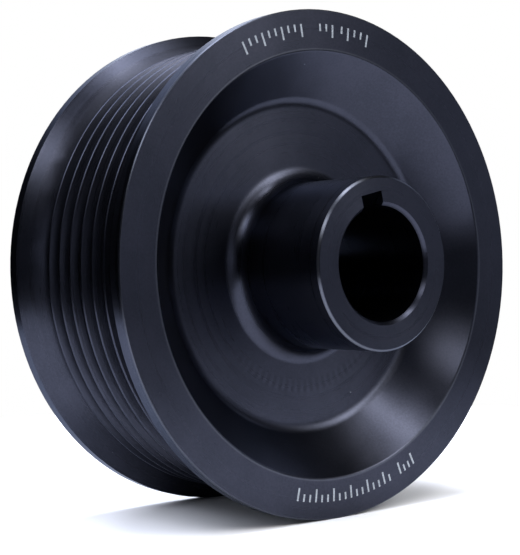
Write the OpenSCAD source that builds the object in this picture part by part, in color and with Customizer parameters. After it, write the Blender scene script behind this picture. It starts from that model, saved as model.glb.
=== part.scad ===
// Ribbed belt pulley for a centrifugal supercharger's input shaft, turned from one billet.
// The axis of rotation is Y. The origin is on that axis, in the middle plane of the belt.
// The dished face and the hub's nose look towards -Y, and the rear recess looks towards +Y.

/* [Belt grooves] */
// Number of belt grooves
groove_count = 8; // [4:1:10]
// Distance from one groove to the next along the axis
groove_pitch = 3.56; // [3.4:0.02:3.7]
// Diameter over the rib crests
rib_d = 84.58; // [80:0.01:88]
// Angle between the two sides of a groove
groove_angle = 40; // [36:1:44]
// Radius of a rib's rounded crest
crest_r = 0.28; // [0.2:0.01:0.4]
// Radius of a groove's rounded bottom
groove_r = 0.5; // [0.3:0.05:0.6]

/* [Flanges] */
// Outside diameter of both flanges
flange_d = 90.7; // [89:0.1:96]
// Width of the front flange, from the dished face to the first groove
front_flange_w = 2.6; // [2:0.1:4]
// Width of the rear flange at the rib crests
rear_flange_w = 4.7; // [4:0.1:7]
// Width of the rear flange's cylindrical land
rear_land_w = 2.3; // [1.5:0.1:3.5]
// Chamfer along the outer edge of both flanges
flange_chamfer = 0.15; // [0.1:0.05:0.8]

/* [Hub and bore] */
// Outside diameter of the hub
hub_d = 30.2; // [28:0.1:34]
// How far the hub's nose stands out in front of the dished face
nose_reach = 13; // [6:0.5:20]
// Chamfer around the nose and around the rear boss
hub_chamfer = 0.4; // [0.2:0.1:1]
// Diameter of the bore
bore_d = 20; // [16:0.1:21]
// Chamfer at both ends of the bore
bore_chamfer = 0.6; // [0.3:0.1:0.8]
// Width of the keyway
keyway_w = 4.76; // [3:0.01:6]
// Depth of the keyway beyond the bore's wall
keyway_depth = 2.3; // [1.5:0.1:2.6]
// Turn of the keyway from straight up, anticlockwise as seen from the front
keyway_angle = 13; // [0:1:359]

/* [Dish and web] */
// Diameter at which the dish's sloping wall would meet the front face
dish_mouth_d = 76.1; // [72:0.1:80]
// Diameter at which the dish's sloping wall would meet its floor
dish_floor_d = 60; // [54:0.5:66]
// Depth of the dish below the front face
dish_depth = 8.5; // [5:0.5:12]
// Radius between the dish's wall and floor
dish_r = 2.9; // [1:0.1:4]
// Radius along the mouth of the dish
mouth_r = 0.6; // [0.2:0.1:1.5]
// Radius at the root of the hub, front and rear
root_r = 3.2; // [1:0.1:4]
// Thickness of the web between the dish and the rear recess
web_t = 8; // [5:0.5:10]

/* [Rear recess] */
// Diameter of the recess in the rear face
recess_d = 69; // [60:0.5:70]
// Radius between the recess's wall and floor
recess_r = 2.5; // [1:0.5:4]
// Chamfer around the mouth of the recess
recess_chamfer = 0.6; // [0.3:0.1:1.5]
// Length of the rear boss behind the web
boss_l = 16; // [4:0.5:18]

/* [Hidden] */
$fn = 180;
// Number of straight steps in a quarter turn of a fillet
fillet_steps = 16;
// The same, for the small radii of the ribs and grooves
rib_steps = 5;
// How far a cutter runs past the surface that it cuts
over = 1;

groove_band = groove_count * groove_pitch;
front_y = -groove_band / 2 - front_flange_w;
rear_y = groove_band / 2 + rear_flange_w;
nose_y = front_y - nose_reach;
floor_y = front_y + dish_depth;
web_y = floor_y + web_t;
boss_y = web_y + boss_l;
rib_r = rib_d / 2;
flange_r = flange_d / 2;
hub_r = hub_d / 2;
bore_r = bore_d / 2;
recess_wall_r = recess_d / 2;
half_angle = groove_angle / 2;

// Radius at which the two sides of a rib would meet in a sharp crest
sharp_crest_r = rib_r - crest_r + crest_r / sin(half_angle);
// Radius at which the two sides of a groove would meet in a sharp bottom
sharp_groove_r = sharp_crest_r - groove_pitch / 2 / tan(half_angle);
// Radius of the centre of a groove's rounded bottom
groove_arc_r = sharp_groove_r + groove_r / sin(half_angle);

// The profile is drawn with X as the radius and Y as the place along the axis.
// An arc's points, from angle a0 to angle a1 about the centre c
function arc(c, r, a0, a1, steps = fillet_steps) =
    let (n = ceil(abs(a1 - a0) / 90 * steps))
    [for (i = [0:n]) c + r * [cos(a0 + (a1 - a0) * i / n), sin(a0 + (a1 - a0) * i / n)]];

// Centre of the groove with the given number, counted from the front
function groove_y(i) = (i - (groove_count - 1) / 2) * groove_pitch;

// The rounded bottom of one groove
function groove_bottom(i) =
    arc([groove_arc_r, groove_y(i)], groove_r, 270 - half_angle, 90 + half_angle, rib_steps);

// The rounded crest between one groove and the next
function crest(i) =
    arc([rib_r - crest_r, groove_y(i) + groove_pitch / 2], crest_r,
        half_angle - 90, 90 - half_angle, rib_steps);

// The ribbed band from the front flange to the rear flange
function ribbed_band() = [
    for (i = [0:groove_count - 1])
        each concat(groove_bottom(i), i < groove_count - 1 ? crest(i) : [])
];

// The dish's wall leans outwards from the axis by this angle
dish_lean = atan2((dish_mouth_d - dish_floor_d) / 2, dish_depth);
// Distance from the wall's foot to where the dish's fillet ends on the floor
dish_tangent = dish_r * tan((90 - dish_lean) / 2);
// Distance from the mouth's corner to where its rounding ends on the front face
mouth_tangent = mouth_r * tan((90 - dish_lean) / 2);

// The front side: hub nose, hub root, dish floor, dish wall, dish mouth and front face
function front_side() = concat(
    [[bore_r + bore_chamfer, nose_y], [hub_r - hub_chamfer, nose_y], [hub_r, nose_y + hub_chamfer]],
    arc([hub_r + root_r, floor_y - root_r], root_r, 180, 90),
    arc([dish_floor_d / 2 - dish_tangent, floor_y - dish_r], dish_r, 90, dish_lean),
    arc([dish_mouth_d / 2 + mouth_tangent, front_y + mouth_r], mouth_r, 180 + dish_lean, 270),
    [[flange_r - flange_chamfer, front_y], [flange_r, front_y + flange_chamfer]]
);

// Both flanges' inner sides, with the ribbed band between them
function belt_side() = concat(
    [[flange_r, -groove_band / 2], [rib_r, -groove_band / 2]],
    ribbed_band(),
    [[rib_r, groove_band / 2], [flange_r, rear_y - rear_land_w]]
);

// The rear side: rear face, recess, web and rear boss
function rear_side() = concat(
    [[flange_r, rear_y - flange_chamfer], [flange_r - flange_chamfer, rear_y],
     [recess_wall_r + recess_chamfer, rear_y], [recess_wall_r, rear_y - recess_chamfer]],
    arc([recess_wall_r - recess_r, web_y + recess_r], recess_r, 0, -90),
    arc([hub_r + root_r, web_y + root_r], root_r, 270, 180),
    [[hub_r, boss_y - hub_chamfer], [hub_r - hub_chamfer, boss_y],
     [bore_r + bore_chamfer, boss_y]]
);

// The wall of the bore, from the rear end to the front end
function bore_side() = [[bore_r, boss_y - bore_chamfer], [bore_r, nose_y + bore_chamfer]];

module turned_body() {
    rotate([-90, 0, 0])
        mirror([0, 1, 0])
            rotate_extrude()
                polygon(concat(front_side(), belt_side(), rear_side(), bore_side()));
}

module keyway() {
    rotate([0, -keyway_angle, 0])
        translate([-keyway_w / 2, nose_y - over, 0])
            cube([keyway_w, boss_y - nose_y + 2 * over, bore_r + keyway_depth]);
}

module pulley() {
    color([0.045, 0.045, 0.055])
        difference() {
            turned_body();
            keyway();
        }
}

pulley();
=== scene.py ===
"""A ribbed belt pulley for a centrifugal supercharger: camera, studio light, materials and surface marks."""
import math

import bpy
from mathutils import Matrix, Vector


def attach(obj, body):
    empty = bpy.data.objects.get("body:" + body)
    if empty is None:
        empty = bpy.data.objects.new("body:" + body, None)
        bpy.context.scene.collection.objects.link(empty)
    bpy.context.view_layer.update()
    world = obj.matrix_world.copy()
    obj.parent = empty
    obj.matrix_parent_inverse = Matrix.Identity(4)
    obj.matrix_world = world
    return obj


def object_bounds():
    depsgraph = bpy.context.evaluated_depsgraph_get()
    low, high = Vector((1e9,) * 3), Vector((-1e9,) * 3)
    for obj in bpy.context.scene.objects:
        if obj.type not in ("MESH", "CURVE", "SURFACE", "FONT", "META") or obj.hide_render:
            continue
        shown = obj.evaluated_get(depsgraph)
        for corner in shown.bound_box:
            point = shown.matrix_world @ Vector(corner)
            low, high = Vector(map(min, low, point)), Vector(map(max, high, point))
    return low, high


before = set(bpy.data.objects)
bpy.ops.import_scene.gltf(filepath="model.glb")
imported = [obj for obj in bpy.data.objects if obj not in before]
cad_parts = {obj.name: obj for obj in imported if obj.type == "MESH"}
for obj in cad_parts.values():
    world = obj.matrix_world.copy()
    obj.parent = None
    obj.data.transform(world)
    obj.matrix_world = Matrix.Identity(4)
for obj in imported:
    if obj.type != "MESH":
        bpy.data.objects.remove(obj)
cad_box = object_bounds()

MM = 0.001
scene = bpy.context.scene
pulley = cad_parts["pulley"]

# The pulley's axis is Y, and its front looks towards -Y. The nose is the foremost end of its hub.
NOSE_REACH = 13 * MM
DISH_DEPTH = 8.5 * MM
BORE_RADIUS = 10 * MM
floor_z = cad_box[0].z
nose_y = cad_box[0].y
face_y = nose_y + NOSE_REACH
web_front_y = face_y + DISH_DEPTH


# ---------------------------------------------------------------- camera
LENS = 87.45
# From the middle of the front face
CAMERA_DISTANCE = 241.09 * MM
# From straight in front, towards the left
CAMERA_TURN = math.radians(41.857)
CAMERA_ROLL = math.radians(-1.094)
# How far the camera aims left of the middle of the front face and below it, as slopes
AIM_LEFT = 0.05486
AIM_DOWN = 0.00852


def make_camera():
    """Stands level with the pulley's axis, to the left of its front."""
    data = bpy.data.cameras.new("camera")
    camera = bpy.data.objects.new("camera", data)
    scene.collection.objects.link(camera)
    data.sensor_width = 36
    data.lens = LENS
    data.clip_start = 0.01
    back = Vector((-math.sin(CAMERA_TURN), -math.cos(CAMERA_TURN), 0))
    camera.location = Vector((0, face_y, 0)) + back * CAMERA_DISTANCE
    right = Vector((math.cos(CAMERA_TURN), -math.sin(CAMERA_TURN), 0))
    up = Vector((0, 0, 1))
    aim = (-back - AIM_LEFT * right - AIM_DOWN * up).normalized()
    roll = Matrix.Rotation(CAMERA_ROLL, 3, "Z")
    camera.rotation_mode = "QUATERNION"
    camera.rotation_quaternion = (aim.to_track_quat("-Z", "Y").to_matrix() @ roll).to_quaternion()
    scene.camera = camera


# ---------------------------------------------------------------- shading of the turned faces
WELD_DISTANCE = 0.001 * MM
SHARP_ANGLE = math.radians(26)


def smooth_by_angle_group():
    """Joins the faces of the mesh, and shades them smooth except where they meet at a sharp angle."""
    group = bpy.data.node_groups.new("smooth_turned_faces", "GeometryNodeTree")
    group.interface.new_socket("Geometry", in_out="INPUT", socket_type="NodeSocketGeometry")
    group.interface.new_socket("Geometry", in_out="OUTPUT", socket_type="NodeSocketGeometry")
    node = group.nodes.new
    link = group.links.new
    start = node("NodeGroupInput")
    merge = node("GeometryNodeMergeByDistance")
    merge.inputs["Distance"].default_value = WELD_DISTANCE
    angle = node("GeometryNodeInputMeshEdgeAngle")
    compare = node("FunctionNodeCompare")
    compare.operation = "GREATER_THAN"
    compare.inputs["B"].default_value = SHARP_ANGLE
    normals = node("GeometryNodeSetMeshNormal")
    end = node("NodeGroupOutput")
    link(start.outputs["Geometry"], merge.inputs["Geometry"])
    link(angle.outputs["Unsigned Angle"], compare.inputs["A"])
    link(merge.outputs["Geometry"], normals.inputs["Mesh"])
    link(compare.outputs["Result"], normals.inputs["Edge Sharpness"])
    link(normals.outputs["Mesh"], end.inputs["Geometry"])
    return group


def smooth_turned_faces(node):
    smooth = node.modifiers.new("smooth turned faces", "NODES")
    smooth.node_group = smooth_by_angle_group()
    weighted = node.modifiers.new("keep flat faces flat", "WEIGHTED_NORMAL")
    weighted.keep_sharp = True


# ---------------------------------------------------------------- node helpers
class Graph:
    """Shorthand for building a node tree."""

    def __init__(self, tree):
        self.tree = tree

    def node(self, kind, **values):
        made = self.tree.nodes.new(kind)
        for name, value in values.items():
            setattr(made, name, value)
        return made

    def feed(self, socket, value):
        """Links another node's socket to this one, or sets a constant on it."""
        if isinstance(value, bpy.types.NodeSocket):
            self.tree.links.new(value, socket)
        else:
            socket.default_value = value

    def math(self, operation, first, second=0.0, third=0.0):
        made = self.node("ShaderNodeMath", operation=operation)
        self.feed(made.inputs[0], first)
        self.feed(made.inputs[1], second)
        self.feed(made.inputs[2], third)
        return made.outputs["Value"]

    def ramp(self, value, start, end, low=0.0, high=1.0):
        """Goes smoothly from low to high while the value goes from start to end."""
        made = self.node("ShaderNodeMapRange", interpolation_type="SMOOTHSTEP")
        self.feed(made.inputs["Value"], value)
        self.feed(made.inputs["From Min"], start)
        self.feed(made.inputs["From Max"], end)
        self.feed(made.inputs["To Min"], low)
        self.feed(made.inputs["To Max"], high)
        return made.outputs["Result"]

    def near(self, value, centre, reach):
        """1 where the value is the centre, falling smoothly to 0 at the reach on both sides."""
        away = self.math("ABSOLUTE", self.math("SUBTRACT", value, centre))
        return self.ramp(away, 0.0, reach, 1.0, 0.0)

    def noise(self, vector, scale, detail, roughness):
        made = self.node("ShaderNodeTexNoise")
        self.feed(made.inputs["Vector"], vector)
        self.feed(made.inputs["Scale"], scale)
        self.feed(made.inputs["Detail"], detail)
        self.feed(made.inputs["Roughness"], roughness)
        return made.outputs["Fac"]

    def noise_along(self, value, scale):
        """Noise that changes along one value only."""
        made = self.node("ShaderNodeTexNoise", noise_dimensions="1D")
        self.feed(made.inputs["W"], value)
        self.feed(made.inputs["Scale"], scale)
        self.feed(made.inputs["Detail"], 2.0)
        return made.outputs["Fac"]

    def mix(self, amount, first, second):
        """Mixes two colours. The node's colour sockets are inputs 6 and 7 and output 2."""
        made = self.node("ShaderNodeMix", data_type="RGBA")
        self.feed(made.inputs["Factor"], amount)
        self.feed(made.inputs[6], first)
        self.feed(made.inputs[7], second)
        return made.outputs[2]

    def axes(self, vector):
        made = self.node("ShaderNodeSeparateXYZ")
        self.feed(made.inputs["Vector"], vector)
        return made.outputs["X"], made.outputs["Y"], made.outputs["Z"]


def new_material(name):
    """A material, its main shader, and a graph to build the rest of it with."""
    material = bpy.data.materials.new(name)
    material.use_nodes = True
    return material, material.node_tree.nodes["Principled BSDF"], Graph(material.node_tree)


# ---------------------------------------------------------------- stage
TABLE_RADIUS = 0.18
TABLE_STEPS = 128


def pale_floor():
    """Matt and nearly white."""
    material, shader, graph = new_material("pale_floor")
    graph.feed(shader.inputs["Base Color"], (0.86, 0.86, 0.87, 1))
    graph.feed(shader.inputs["Roughness"], 0.9)
    graph.feed(shader.inputs["Specular IOR Level"], 0.2)
    return material


def make_floor():
    """A round white table top. Past its edge the room is dark, but the camera sees a white backdrop."""
    mesh = bpy.data.meshes.new("floor")
    turns = [2 * math.pi * step / TABLE_STEPS for step in range(TABLE_STEPS)]
    rim = [(TABLE_RADIUS * math.cos(turn), TABLE_RADIUS * math.sin(turn), floor_z) for turn in turns]
    mesh.from_pydata(rim, [], [tuple(range(TABLE_STEPS))])
    floor = bpy.data.objects.new("floor", mesh)
    scene.collection.objects.link(floor)
    mesh.materials.append(pale_floor())


# ---------------------------------------------------------------- light
# Softboxes far away: azimuth (0 is the front, 90 the right), elevation, half width and half height, all in
# degrees, and then brightness
NEUTRAL_SOFTBOXES = [
    (30, 35, 10, 15, 14),  # key light, front right
    (0, 45, 10, 5, 3),  # front
    (10, 65, 12, 5, 20),  # high front
    (60, 75, 15, 3, 13),  # higher, front right
    (319, 39, 5, 5, 17),  # small, front left
]
COOL_SOFTBOXES = [
    (0, 90, 200, 10, 26),  # overhead
    (255, 65, 35, 5, 18),  # high left
    (285, 45, 25, 5, 12),  # left
    (270, 25, 10, 5, 3),  # low left
    (185, 50, 20, 10, 5),  # behind
    (150, 25, 10, 5, 6),  # low rear right
    (90, 25, 10, 5, 6),  # low right
    (15, 5, 50, 5, 1.3),  # fill along the table's edge
]
COOL_TINT = (0.93, 0.98, 1.13)
SOFT_EDGE = math.radians(12)
BACKDROP = (1, 1, 1, 1)


def softbox_light(graph, azimuth, elevation, boxes):
    """Adds up the brightness of the softboxes in one direction. Each one fades out over its soft edge."""
    total = 0.0
    for place, height, half_width, half_height, brightness in boxes:
        turn = graph.math("SUBTRACT", azimuth, math.radians(place))
        across = graph.math("ABSOLUTE", graph.math("WRAP", turn, math.pi, -math.pi))
        up = graph.math("ABSOLUTE", graph.math("SUBTRACT", elevation, math.radians(height)))
        wide = math.radians(half_width)
        tall = math.radians(half_height)
        inside_width = graph.ramp(across, wide - SOFT_EDGE, wide + SOFT_EDGE, brightness, 0.0)
        inside_height = graph.ramp(up, tall - SOFT_EDGE, tall + SOFT_EDGE, 1.0, 0.0)
        total = graph.math("MULTIPLY_ADD", inside_width, inside_height, total)
    return total


def light_studio():
    """Softboxes at infinity, in the world's colour. The camera itself sees a plain white backdrop."""
    world = bpy.data.worlds.new("studio")
    world.use_nodes = True
    scene.world = world
    graph = Graph(world.node_tree)
    x, y, z = graph.axes(graph.node("ShaderNodeTexCoord").outputs["Generated"])
    azimuth = graph.math("ARCTAN2", x, graph.math("MULTIPLY", y, -1.0))
    elevation = graph.math("ARCSINE", z)
    neutral = softbox_light(graph, azimuth, elevation, NEUTRAL_SOFTBOXES)
    cool = softbox_light(graph, azimuth, elevation, COOL_SOFTBOXES)
    light = graph.node("ShaderNodeCombineColor")
    for channel, share in zip(("Red", "Green", "Blue"), COOL_TINT):
        graph.feed(light.inputs[channel], graph.math("MULTIPLY_ADD", cool, share, neutral))
    path = graph.node("ShaderNodeLightPath")
    seen = graph.mix(path.outputs["Is Camera Ray"], light.outputs["Color"], BACKDROP)
    graph.feed(world.node_tree.nodes["Background"].inputs["Color"], seen)
    scene.view_settings.view_transform = "Standard"


# ---------------------------------------------------------------- materials
DYE_DARK = (0.025, 0.027, 0.037, 1)
DYE_PALE = (0.032, 0.034, 0.047, 1)
# Painted shade: near black on the bore's wall, where little light gets in
BORE_PAINTED_SHADE = (0.001, 0.001, 0.002, 1)
WORN_EDGE = (0.30, 0.32, 0.36, 1)
DUST = (0.25, 0.27, 0.30, 1)
GRAZING_TINT = (0.60, 0.63, 0.70, 1)
MARK_DARK = (0.17, 0.19, 0.21, 1)
MARK_PALE = (0.32, 0.35, 0.39, 1)
# How much the bore's painted shade, the worn edges and the dust cover
BORE_SHADE_COVER = 0.85
WEAR_COVER = 0.25
DUST_COVER = 0.6
# Roughness of the clean surface, and what the clouds, the broad rings and the dust add to it
ROUGHNESS = 0.21
CLOUD_ROUGHNESS = 0.06
RING_ROUGHNESS = 0.09
DUST_ROUGHNESS = 0.3
# The depth that a relief of 1 stands for
BUMP_DEPTH = 0.006 * MM

# Noise scales, in features for each metre
CLOUD_SCALE = 90
SPECK_SCALE = 260
BROAD_RING_SCALE = 900
GRAIN_SCALE = 2600
MARK_GRAIN_SCALE = 4000
RING_SCALE = 5200

# Radii of the worn edges, how far the wear reaches from them, and how much fainter it is away from the nose
RIM_EDGE = 45.3 * MM
MOUTH_EDGE = 38.3 * MM
NOSE_EDGE = 14.95 * MM
EDGE_REACH = 0.3 * MM
FAINTER = 0.35
# How far from its place along the axis a mark on the nose, or on the front face or the web, fades out
NOSE_FADE = 0.6 * MM
FACE_FADE = 0.4 * MM

# The ring of chatter: ripples in a whole turn, radius and reach, and the angle and its reach in radians
CHATTER_RIPPLES = 93.0
CHATTER_RADIUS = 22.1 * MM
CHATTER_REACH = 1.5 * MM
CHATTER_ANGLE = -1.6
CHATTER_SPREAD = 1.0
# How strongly the chatter and the fine rings show in the dye and in the relief
CHATTER_IN_DYE = 0.7
CHATTER_RELIEF = 3.5
RING_RELIEF = 0.45


def add_bump(graph, shader, relief):
    bump = graph.node("ShaderNodeBump")
    graph.feed(bump.inputs["Strength"], 1.0)
    graph.feed(bump.inputs["Distance"], BUMP_DEPTH)
    graph.feed(bump.inputs["Height"], relief)
    graph.feed(shader.inputs["Normal"], bump.outputs["Normal"])


def turned_surface(graph):
    """The place on the turned body: object coordinates, radius, place along the axis, profile and angle."""
    place = graph.node("ShaderNodeTexCoord").outputs["Object"]
    x, y, z = graph.axes(place)
    radius = graph.math("SQRT", graph.math("MULTIPLY_ADD", x, x, graph.math("MULTIPLY", z, z)))
    profile = graph.math("ADD", radius, y)
    angle = graph.math("ARCTAN2", z, x)
    return place, radius, y, profile, angle


def worn_edges(graph, radius, y):
    """1 along the nose's edge, and less along the rim and the dish's mouth: handling thins the black."""
    at_face = graph.near(y, face_y, FACE_FADE)
    at_nose = graph.near(y, nose_y, NOSE_FADE)
    rim = graph.math("MULTIPLY", graph.near(radius, RIM_EDGE, EDGE_REACH), at_face)
    mouth = graph.math("MULTIPLY", graph.near(radius, MOUTH_EDGE, EDGE_REACH), at_face)
    nose = graph.math("MULTIPLY", graph.near(radius, NOSE_EDGE, EDGE_REACH), at_nose)
    faint = graph.math("MULTIPLY", graph.math("MAXIMUM", rim, mouth), FAINTER)
    return graph.math("MAXIMUM", nose, faint)


def bore_shade_mask(graph, radius, y):
    """Mask for the bore's painted shade: 1 on the wall of the bore, coming up from 0 over the first
    millimetre behind the nose.
    """
    inside = graph.ramp(radius, BORE_RADIUS + 0.1 * MM, BORE_RADIUS + 0.3 * MM, 1.0, 0.0)
    return graph.math("MULTIPLY", inside, graph.ramp(y, nose_y, nose_y + 1 * MM))


def tool_chatter(graph, radius, y, angle):
    """Short radial ripples in a ring on the web below the hub, where the turning tool chattered."""
    ripples = graph.math("SINE", graph.math("MULTIPLY", angle, CHATTER_RIPPLES))
    ring = graph.near(radius, CHATTER_RADIUS, CHATTER_REACH)
    web = graph.near(y, web_front_y, FACE_FADE)
    below = graph.near(angle, CHATTER_ANGLE, CHATTER_SPREAD)
    return graph.math("MULTIPLY", graph.math("MULTIPLY", ripples, below), graph.math("MULTIPLY", ring, web))


def dust_specks(graph, place):
    """1 on small specks, one in the middle of each of a few randomly chosen cells."""
    cells = graph.node("ShaderNodeTexVoronoi")
    graph.feed(cells.inputs["Vector"], place)
    graph.feed(cells.inputs["Scale"], SPECK_SCALE)
    cell_colour = graph.node("ShaderNodeSeparateColor")
    graph.feed(cell_colour.inputs["Color"], cells.outputs["Color"])
    chosen = graph.ramp(cell_colour.outputs["Red"], 0.90, 0.93)
    middle = graph.ramp(cells.outputs["Distance"], 0.020, 0.045, 1.0, 0.0)
    return graph.math("MULTIPLY", middle, chosen)


def black_anodised():
    """Satin black hard anodising over turned aluminium."""
    material, shader, graph = new_material("black_anodised")
    place, radius, y, profile, angle = turned_surface(graph)
    chatter = tool_chatter(graph, radius, y, angle)
    cloud = graph.noise(place, CLOUD_SCALE, 3.0, 0.6)
    grain = graph.noise(place, GRAIN_SCALE, 2.0, 0.6)
    specks = dust_specks(graph, place)

    # The dye is a little uneven and thin on the worn edges, and dust lies on it. The bore's wall gets
    # painted shade, near black.
    mottling = graph.math("MULTIPLY_ADD", grain, 0.5, graph.math("MULTIPLY", cloud, 0.5))
    uneven = graph.math("MULTIPLY_ADD", chatter, CHATTER_IN_DYE, mottling)
    dye = graph.mix(graph.ramp(uneven, 0.35, 0.65), DYE_DARK, DYE_PALE)
    # Painted shade on the bore's wall
    bore = graph.math("MULTIPLY", bore_shade_mask(graph, radius, y), BORE_SHADE_COVER)
    wear = graph.math("MULTIPLY", worn_edges(graph, radius, y), WEAR_COVER)
    dust = graph.math("MULTIPLY", specks, DUST_COVER)
    dyed = graph.mix(wear, graph.mix(bore, dye, BORE_PAINTED_SHADE), WORN_EDGE)
    graph.feed(shader.inputs["Base Color"], graph.mix(dust, dyed, DUST))
    graph.feed(shader.inputs["Metallic"], 1.0)
    graph.feed(shader.inputs["Specular Tint"], GRAZING_TINT)

    # The turning tool leaves fine rings, so highlights run across them.
    rings = graph.noise_along(profile, RING_SCALE)
    broad_rings = graph.noise_along(profile, BROAD_RING_SCALE)
    clouded = graph.math("MULTIPLY_ADD", cloud, CLOUD_ROUGHNESS, ROUGHNESS)
    ringed = graph.math("MULTIPLY_ADD", broad_rings, RING_ROUGHNESS, clouded)
    graph.feed(shader.inputs["Roughness"], graph.math("MULTIPLY_ADD", specks, DUST_ROUGHNESS, ringed))
    graph.feed(shader.inputs["Anisotropic"], 0.6)
    graph.feed(shader.inputs["Anisotropic Rotation"], 0.25)
    tangent = graph.node("ShaderNodeTangent", direction_type="RADIAL", axis="Y")
    graph.feed(shader.inputs["Tangent"], tangent.outputs["Tangent"])
    ring_relief = graph.math("MULTIPLY_ADD", rings, RING_RELIEF, grain)
    add_bump(graph, shader, graph.math("MULTIPLY_ADD", chatter, CHATTER_RELIEF, ring_relief))
    return material


def laser_mark():
    """Pale matt grey, where a laser has taken the black off."""
    material, shader, graph = new_material("laser_mark")
    place = graph.node("ShaderNodeTexCoord").outputs["Object"]
    grain = graph.noise(place, MARK_GRAIN_SCALE, 3.0, 0.7)
    graph.feed(shader.inputs["Base Color"], graph.mix(graph.ramp(grain, 0.3, 0.7), MARK_DARK, MARK_PALE))
    graph.feed(shader.inputs["Roughness"], graph.math("MULTIPLY_ADD", grain, 0.2, 0.5))
    add_bump(graph, shader, grain)
    return material


# ---------------------------------------------------------------- marks on the front face
MARK_THICKNESS = 0.02 * MM
MARK_SINK = 0.01 * MM
TICK_WIDTH = 0.38 * MM
LONG_TICK = 2.3 * MM
SHORT_TICK = 1.3 * MM
# Every third tick is long.
LONG_EVERY = 3
# Degrees from one tick to the next, before each group is fitted to a whole number of steps
TICK_STEP = 1.95
# Groups of ticks, each from a first to a last angle in degrees, where 90 is straight up
UPPER_GROUPS = [(77.5, 86), (89, 93), (99, 117.5)]
LOWER_GROUPS = [(-103, -72), (-68, -63)]
# Radius at the outer ends of the ticks
UPPER_RADIUS = 42.8 * MM
LOWER_RADIUS = 42.2 * MM


def add_tick(vertices, faces, angle, inner, outer):
    """One thin radial bar on the front face."""
    along = Vector((math.cos(angle), 0, math.sin(angle)))
    across = Vector((-math.sin(angle), 0, math.cos(angle))) * TICK_WIDTH / 2
    start = len(vertices)
    for y in (face_y - MARK_THICKNESS, face_y + MARK_SINK):
        for reach, side in ((inner, -1), (outer, -1), (outer, 1), (inner, 1)):
            corner = along * reach + across * side
            vertices.append((corner.x, y, corner.z))
    for face in ((0, 1, 2, 3), (7, 6, 5, 4), (0, 4, 5, 1), (1, 5, 6, 2), (2, 6, 7, 3), (3, 7, 4, 0)):
        faces.append(tuple(start + corner for corner in face))


def laser_ticks(name, outer, groups):
    """Plain index ticks in groups, with their outer ends at one radius."""
    vertices = []
    faces = []
    for first, last in groups:
        steps = round((last - first) / TICK_STEP)
        for index in range(steps + 1):
            angle = math.radians(first + (last - first) * index / steps)
            length = SHORT_TICK if index % LONG_EVERY else LONG_TICK
            add_tick(vertices, faces, angle, outer - length, outer)
    mesh = bpy.data.meshes.new(name)
    mesh.from_pydata(vertices, [], faces)
    mesh.update()
    piece = bpy.data.objects.new(name, mesh)
    scene.collection.objects.link(piece)
    mesh.materials.append(laser_mark())
    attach(piece, "root")


make_camera()
smooth_turned_faces(pulley)
make_floor()
light_studio()
pulley.data.materials.clear()
pulley.data.materials.append(black_anodised())
laser_ticks("upper_index_ticks", UPPER_RADIUS, UPPER_GROUPS)
laser_ticks("lower_index_ticks", LOWER_RADIUS, LOWER_GROUPS)
